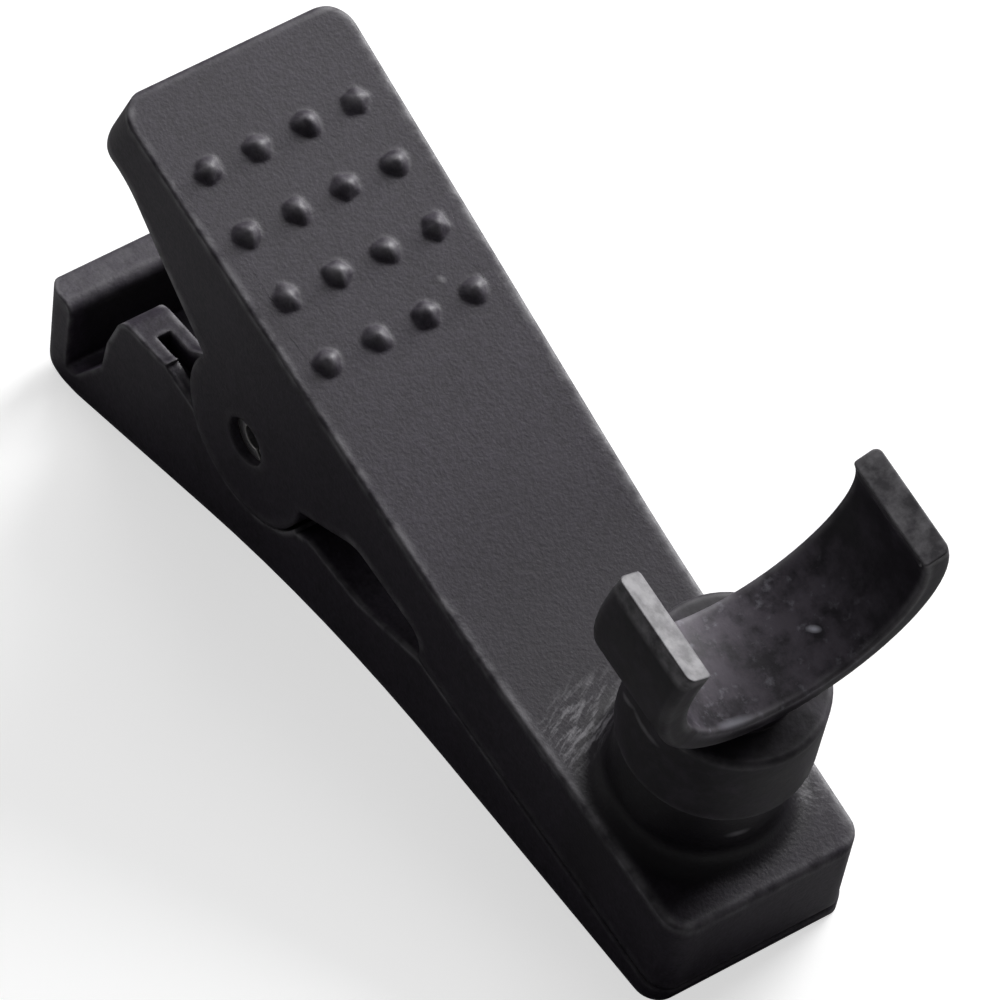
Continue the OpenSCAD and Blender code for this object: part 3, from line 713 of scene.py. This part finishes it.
# Painted glints in the ring, near-white; the specks added beside them are dust.
glints_and_specks = sum(spindle(cradle, *spot) for spot in RING_GLINTS)
glints_and_specks = glints_and_specks + SPECKS_SHARE * bloom * cradle.patches(*SPECKS)
cradle.set("Base Color", cradle.blend(glints_and_specks, cradle_body, CRADLE_GLINT_AND_SPECK))
flow_gloss = FLOW_ROUGHENS * cradle.ramp(flow, *FLOW_ROUGH)
cradle.set("Roughness", CRADLE_ROUGHNESS + flow_gloss + BLOOM_ROUGHENS * bloom)
cradle.bump(ripple, RIPPLE_DEPTH, CRADLE_ROUND)
moulding("mic_cradle", "cradle", cradle.material)

# ---------------------------------------------------------------- floor, lamps and camera
# A card floor that is white to the camera and a grey card to the clip, so that its black sides stay
# dark. The softboxes stand above the top face and low on the far side, where the glints come from,
# and a weak one fills the near side.

FLOOR_HALF = 1.5
CARD_WHITE = (0.68, 0.68, 0.68, 1)
CARD_GLOW = 0.62
CARD_GREY = (0.35, 0.35, 0.35, 1)
WHITE = (1, 1, 1, 1)
SKY_FILL = 0.06
CORNERS = ((-1, -1), (1, -1), (1, 1), (-1, 1))

floor_mesh = bpy.data.meshes.new("floor")
floor_mesh.from_pydata([(x * FLOOR_HALF, y * FLOOR_HALF, 0) for x, y in CORNERS], [], [(0, 1, 2, 3)])
floor = bpy.data.objects.new("floor", floor_mesh)
bpy.context.scene.collection.objects.link(floor)
card = Finish("card_floor")
seen = card.add("ShaderNodeLightPath", output="Is Camera Ray")
through = card.add("ShaderNodeLightPath", output="Is Transmission Ray")
white = card.add("ShaderNodeBsdfDiffuse", {}, {"Color": CARD_WHITE})
glow = card.add("ShaderNodeEmission", {}, {"Color": WHITE, "Strength": CARD_GLOW})
bright = card.add("ShaderNodeAddShader", {}, {0: white, 1: glow})
grey = card.add("ShaderNodeBsdfDiffuse", {}, {"Color": CARD_GREY})
surface = card.add("ShaderNodeMixShader", {}, {0: seen + through, 1: grey, 2: bright})
card.feed(card.tree.nodes["Material Output"].inputs["Surface"], surface)
floor_mesh.materials.append(card.material)

world = bpy.data.worlds.new("studio")
bpy.context.scene.world = world
world.use_nodes = True
sky = world.node_tree
backdrop = sky.nodes["Background"]
backdrop.inputs["Color"].default_value = WHITE
path = sky.nodes.new("ShaderNodeLightPath")
level = sky.nodes.new("ShaderNodeMapRange")
level.inputs["To Min"].default_value = SKY_FILL
level.inputs["To Max"].default_value = 1.0
sky.links.new(path.outputs["Is Camera Ray"], level.inputs["Value"])
sky.links.new(level.outputs["Result"], backdrop.inputs["Strength"])

LAMP_AIM = Vector((0, 0, 8 * MM))


def softbox(name, direction, distance, size, card_level):
    """A flat lamp aimed at the clip, its size given along X and square to it. card_level is how
    bright it makes a white card facing it."""
    lamp = bpy.data.lights.new(name, "AREA")
    lamp.shape = "RECTANGLE"
    lamp.size, lamp.size_y = size
    lamp.energy = card_level * math.pi ** 2 * distance ** 2
    holder = bpy.data.objects.new(name, lamp)
    bpy.context.scene.collection.objects.link(holder)
    towards = Vector(direction).normalized()
    holder.location = LAMP_AIM + distance * towards
    holder.rotation_euler = towards.to_track_quat("Z", "Y").to_euler()


softbox("overhead_softbox", direction=(-0.34, 0.36, 0.87), distance=0.2, size=(0.13, 0.15), card_level=0.32)
softbox("far_side_softbox", direction=(-0.2, 0.88, 0.43), distance=0.5, size=(0.25, 0.38), card_level=1.25)
softbox("near_side_softbox", direction=(-0.7, -0.62, 0.35), distance=0.6, size=(0.5, 0.5), card_level=0.05)

# A long lens, rolled a little, looks down on the clip from ahead of it and from its right.
CAMERA_AZIMUTH = math.radians(55.165)
CAMERA_ELEVATION = math.radians(47.42)
CAMERA_ROLL = math.radians(0.597)
CAMERA_DISTANCE = 412.1 * MM
CAMERA_AIM = PIN + Vector((5.9163, 2.6017, -2.45)) * MM
LENS = 396
SENSOR = 36
CLIP_START = 0.01

camera_data = bpy.data.cameras.new("camera")
camera_data.lens = LENS
camera_data.sensor_width = SENSOR
camera_data.clip_start = CLIP_START
camera = bpy.data.objects.new("camera", camera_data)
bpy.context.scene.collection.objects.link(camera)
level_out = Vector((math.sin(CAMERA_AZIMUTH), -math.cos(CAMERA_AZIMUTH), 0))
outward = math.cos(CAMERA_ELEVATION) * level_out + Vector((0, 0, math.sin(CAMERA_ELEVATION)))
facing = outward.to_track_quat("Z", "Y").to_matrix() @ Matrix.Rotation(CAMERA_ROLL, 3, "Z")
camera.matrix_world = Matrix.Translation(CAMERA_AIM + CAMERA_DISTANCE * outward) @ facing.to_4x4()
bpy.context.scene.camera = camera
bpy.context.scene.view_settings.view_transform = "Standard"
